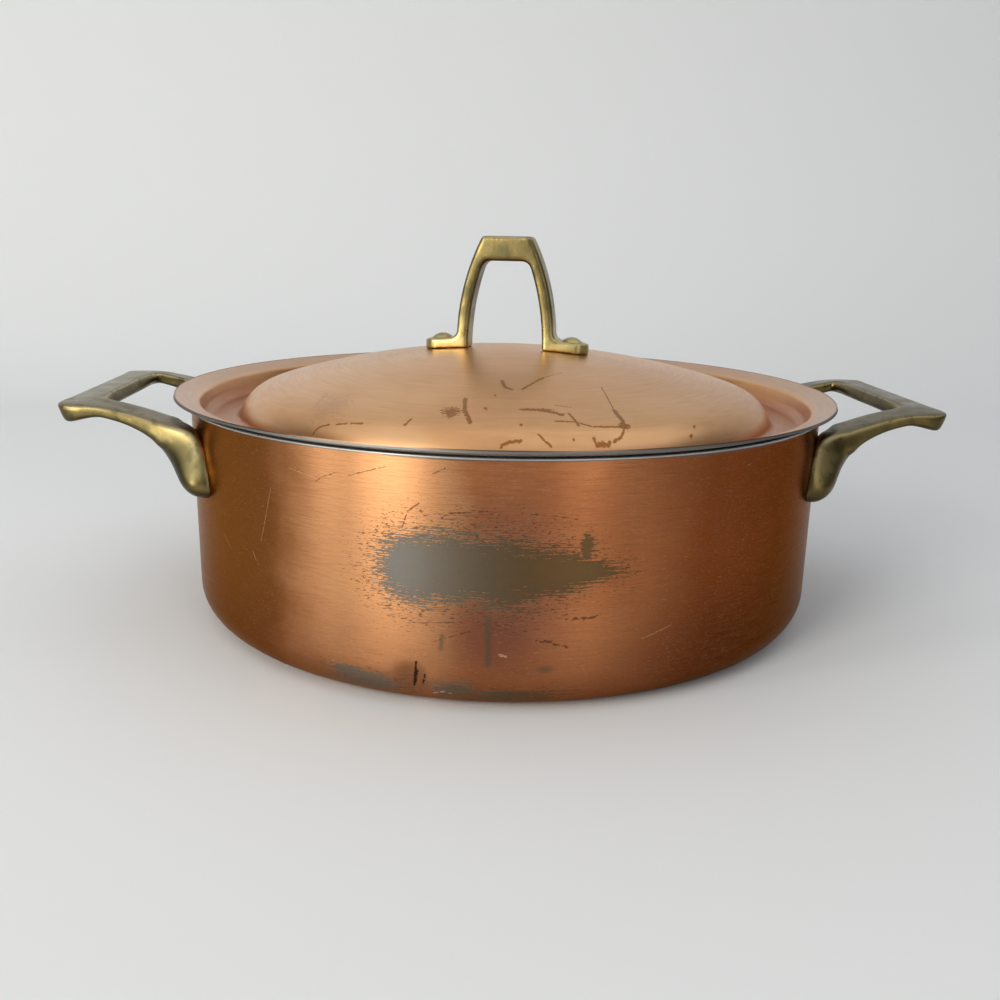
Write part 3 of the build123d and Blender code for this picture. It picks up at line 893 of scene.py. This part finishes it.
def cast_piece(name, cad_node, material, body, soften=0):
    """A smooth piece from a CAD node's own surface, with its edges softened by this many steps."""
    voxel = 0.4 * MM
    sharp = 40
    bm = bmesh.new()
    bm.from_mesh(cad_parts[cad_node].data)
    bmesh.ops.remove_doubles(bm, verts=bm.verts, dist=2 * same_point)
    if soften:
        remesh = ("REMESH", {"mode": "VOXEL", "voxel_size": voxel})
        modified(bm, remesh, ("SMOOTH", {"factor": 0.5, "iterations": soften}))
        sharp = 180
    finished(name, bm, material, body, [cad_node], sharp)


# Pot handles. The bar's section, and half of a casting as four-cornered sections from foot to bar
bar_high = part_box("right_handle")[1]
bar_top = bar_high.z
bar_outer = bar_high.x
bar_half = 44.8 * MM
bar_inner = bar_outer - 11.4 * MM


def section(upper, lower, side, turn, width, fall=0):
    """Corners of a leg's section: points of its upper and lower edges as (out from the wall, below
    the bar's top), its middle along Y, its turn about Z in degrees and its width, in millimetres.
    The upper corner away from the bar's middle lies lower by the fall."""
    across = Vector((-sin(radians(turn)), cos(radians(turn)), 0)) * width / 2
    corners = []
    for (out, down), signs in ((upper, (1, -1)), (lower, (-1, 1))):
        middle = Vector((wall_radius / MM + out, side, bar_top / MM - down))
        corners += [(middle + across * sign) * MM for sign in signs]
    corners[0].z -= fall * MM
    return corners


def foot_section(behind, face, angle, widths, stand=0):
    """Corners of a foot's section, at an angle round the pot from the X axis, with its width behind
    and at its face. Its back corner away from the bar's middle stands off the wall."""
    outward = Vector((cos(radians(angle)), sin(radians(angle)), 0))
    across = Vector((-outward.y, outward.x, 0)) / 2
    corners = []
    for (out, down), width, signs in zip((behind, face), widths, ((1, -1), (-1, 1))):
        middle = outward * (wall_radius / MM + out) + Vector((0, 0, bar_top / MM - down))
        corners += [(middle + across * width * sign) * MM for sign in signs]
    corners[0] += outward * stand * MM
    return corners


def extended(bm, ring, corners):
    """Draw out the face on a ring of vertices to new corners."""
    made = bmesh.ops.extrude_discrete_faces(bm, faces=[bm.faces.get(ring)])["faces"][0]
    grown = [min(made.verts, key=lambda vert: (vert.co - old.co).length) for old in ring]
    for vert, corner in zip(grown, corners):
        vert.co = corner
    return grown


def handle_rings():
    """The sections of half a pot handle: four of the foot, five of the leg, and two of the bar's end."""
    side_out = bar_half
    side_in = bar_half - 12.6 * MM
    heel = 1.0 * MM
    undercut = 1.2 * MM
    return [
        foot_section((-3.0, 30.8), (2.6, 30.8), 25.7, (11.0, 8.4)),
        foot_section((-3.0, 27.6), (6.8, 27.4), 25.7, (18.0, 12.4)),
        foot_section((-3.0, 21.5), (8.2, 23.6), 25.0, (19.0, 13.2), 0.8),
        foot_section((-3.0, 9.6), (9.0, 19.8), 22.2, (17.0, 14.8), 2.0),
        section((-4.6, 6.3), (4.2, 16.0), 41.4, 15, 15.2, 1.0),
        section((0.4, 5.9), (5.8, 13.0), 40.2, 10, 14.8, 1.1),
        section((5.8, 4.4), (9.3, 10.2), 39.3, 6, 14.4, 0.9),
        section((13.2, 2.4), (14.9, 7.3), 38.8, 3, 13.8, 0.8),
        section((20.4, 0.9), (21.2, 5.5), 38.6, 1, 13.2, 0.8),
        [
            Vector((bar_inner, side_out, bar_top - 0.9 * MM)),
            Vector((bar_inner, side_in, bar_top + 0.2 * MM)),
            Vector((bar_inner - heel, side_in, bar_top - 4.6 * MM)),
            Vector((bar_inner - heel, side_out, bar_top - 5.0 * MM)),
        ],
        [
            Vector((bar_outer + 1.9 * MM, side_out, bar_top - 1.0 * MM)),
            Vector((bar_outer + 0.4 * MM, side_in, bar_top - 0.5 * MM)),
            Vector((bar_outer - undercut, side_in, bar_top - 8.2 * MM)),
            Vector((bar_outer - undercut, side_out, bar_top - 8.2 * MM)),
        ],
    ]


def handle_cage():
    """One half of a pot handle, with the creases of its edges."""
    rings = handle_rings()
    bm = bmesh.new()
    crease = bm.edges.layers.float.new("crease_edge")
    all_rings = [[bm.verts.new(corner) for corner in rings[0]]]
    bm.faces.new(all_rings[0])
    for corners in rings[1:]:
        all_rings.append(extended(bm, all_rings[-1], corners))
    bm.faces.new(all_rings[0])
    inner_ring, outer_ring = all_rings[-2:]
    joint_ring = [inner_ring[1], outer_ring[1], outer_ring[2], inner_ring[2]]
    middle_ring = extended(bm, joint_ring, [Vector((vert.co.x, 0, vert.co.z)) for vert in joint_ring])
    foot_rings = 4
    foot_creases = (0.35, 0.15, 0.1, 0.15)
    leg_creases = (0.35, 0.4, 0.3, 0.35)
    bar_creases = (0.45, 0.4, 0.35, 0.45)
    for step, (before, after) in enumerate(zip(all_rings, all_rings[1:])):
        for number, strength in enumerate(foot_creases if step < foot_rings else leg_creases):
            bm.edges.get((before[number], after[number]))[crease] = strength
    for before, after, strength in zip(joint_ring, middle_ring, bar_creases):
        bm.edges.get((before, after))[crease] = strength
    bm.edges.get((outer_ring[0], outer_ring[1]))[crease] = 0.45
    bm.edges.get((outer_ring[2], outer_ring[3]))[crease] = 0.3
    bmesh.ops.delete(bm, geom=[bm.faces.get(middle_ring)], context="FACES_ONLY")
    return bm


def seat_on_wall(bm):
    """Press what lies inside the copper wall flat against it, a little way into the copper."""
    into_copper = 0.2 * MM
    for vert in bm.verts:
        radius = sqrt(vert.co.x**2 + vert.co.y**2)
        seat = wall_outside(vert.co.z, into_copper)
        if radius < seat:
            vert.co.x *= seat / radius
            vert.co.y *= seat / radius


def make_pot_handle(name, cad_node, side):
    """A cast handle on the right (side 1) or left (side -1) of the pot."""
    bm = handle_cage()
    half = bm.verts[:] + bm.edges[:] + bm.faces[:]
    bmesh.ops.mirror(bm, geom=half, merge_dist=10 * same_point, axis="Y")
    bmesh.ops.scale(bm, vec=(side, 1, 1), verts=bm.verts)
    bmesh.ops.recalc_face_normals(bm, faces=bm.faces)
    modified(bm, ("SUBSURF", {"levels": 4, "render_levels": 4}))
    seat_on_wall(bm)
    finished(name, bm, brass, "pot", [cad_node], sharp=80)


make_pot_handle("brass_handle_left", "left_handle", -1)
make_pot_handle("brass_handle_right", "right_handle", 1)
cast_piece("brass_grip", "lid_handle", brass, "lid", soften=16)
cast_piece("grip_rivets", "lid_rivets", brass, "lid")
cast_piece("handle_rivets", "pot_rivets", steel, "pot")


# Stage: a pale floor that turns up into a backdrop, soft lights and the camera


def make_stage():
    """A plain pale floor that turns up into a backdrop."""
    floor_front = -2.2
    wall_back = 0.75
    wall_top = 2.2
    sweep = 0.35
    sweep_steps = 16
    half_width = 2.6
    outline = rounded([(floor_front, 0), (wall_back, 0, sweep), (wall_back, wall_top)], sweep_steps)
    bm = bmesh.new()
    verts = [bm.verts.new((-half_width, y, z)) for y, z in outline]
    edges = [bm.edges.new(pair) for pair in zip(verts, verts[1:])]
    swept = bmesh.ops.extrude_edge_only(bm, edges=edges)["geom"]
    moved = [part for part in swept if isinstance(part, bmesh.types.BMVert)]
    bmesh.ops.translate(bm, verts=moved, vec=(2 * half_width, 0, 0))
    bmesh.ops.recalc_face_normals(bm, faces=bm.faces)
    for face in bm.faces:
        face.smooth = True
    mesh = bpy.data.meshes.new("sweep")
    bm.to_mesh(mesh)
    bm.free()
    material = bpy.data.materials.new("pale_paper")
    material.use_nodes = True
    shader = material.node_tree.nodes["Principled BSDF"]
    shader.inputs["Base Color"].default_value = (0.70, 0.712, 0.73, 1)
    shader.inputs["Roughness"].default_value = 0.9
    mesh.materials.append(material)
    stage = bpy.data.objects.new("sweep", mesh)
    bpy.context.scene.collection.objects.link(stage)


def add_softbox(name, place, size, power, colour=(1, 1, 1)):
    """A rectangular lamp that faces the middle of the pot."""
    aim = Vector((0, 0, 0.05))
    data = bpy.data.lights.new(name, "AREA")
    data.shape = "RECTANGLE"
    data.size, data.size_y = size
    data.energy = power
    data.color = colour
    lamp = bpy.data.objects.new(name, data)
    lamp.location = place
    lamp.rotation_euler = (aim - Vector(place)).to_track_quat("-Z", "Y").to_euler()
    bpy.context.scene.collection.objects.link(lamp)


def make_lights():
    """Soft boxes round the front, one overhead, and an even world."""
    distance = 1.4
    box_height = 1.1
    for name, turn, height, width, power, colour in (
        ("window_left", -39.5, 0.45, 0.50, 15.6, (1.0, 0.98, 0.88)),
        ("window_far_left", -62, 0.45, 0.25, 4.5, (1.0, 0.97, 0.86)),
        ("fill_middle", 23, 0.5, 0.40, 2.9, (1.0, 0.97, 0.92)),
    ):
        place = (distance * sin(radians(turn)), -distance * cos(radians(turn)), height)
        add_softbox(name, place, (width, box_height), power, colour)
    add_softbox("overhead", place=(0, -0.1, 1.7), size=(4.4, 2.5), power=25)
    world = bpy.data.worlds.new("even_light")
    world.use_nodes = True
    background = world.node_tree.nodes["Background"]
    background.inputs["Color"].default_value = (0.93, 0.96, 1.0, 1)
    background.inputs["Strength"].default_value = 0.2
    bpy.context.scene.world = world


def make_camera():
    """The photograph's viewpoint: its place in millimetres and its turns in degrees."""
    place = (-21.61, -389.85, 136.42)
    turns = (75.526, -1.109, -2.701)
    data = bpy.data.cameras.new("camera")
    data.lens = 37.44
    data.sensor_width = 36
    camera = bpy.data.objects.new("camera", data)
    camera.location = Vector(place) * MM
    camera.rotation_euler = [radians(turn) for turn in turns]
    bpy.context.scene.collection.objects.link(camera)
    bpy.context.scene.camera = camera


make_stage()
make_lights()
make_camera()
bpy.context.scene.view_settings.view_transform = "Standard"
